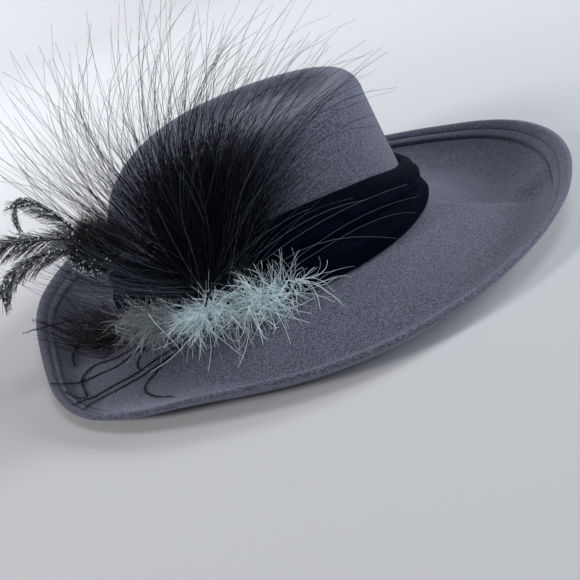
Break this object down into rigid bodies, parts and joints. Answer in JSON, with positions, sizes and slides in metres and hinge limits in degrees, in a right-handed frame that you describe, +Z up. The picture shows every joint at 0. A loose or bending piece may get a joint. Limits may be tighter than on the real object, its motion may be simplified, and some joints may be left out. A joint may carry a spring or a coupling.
{
  "type": "wide-brimmed felt hat",
  "caption": "Oval crown and wide cupped brim in charcoal wool felt, with a draped velvet band and a feather trim on one side.",
  "frame": {"origin": "middle of the footprint's box, on the surface that the brim rests on", "axes": "+X to the front of the hat, +Y to the wearer's left, +Z up through the crown"},
  "size_m": [0.3638, 0.351, 0.193],
  "materials": {
    "felt": "matt wool felt",
    "velvet": "velvet pile",
    "black_feather": "fine hair-like feather",
    "blue_down": "soft down"
  },
  "bodies": {
    "root": {"brim": "felt", "crown": "felt", "velvet_band": "velvet", "feather_pad": "black_feather", "plume_burst": "black_feather", "marabou_tuft": "blue_down", "herl_strands": "black_feather", "curled_fronds": "black_feather"}
  },
  "joints": []
}
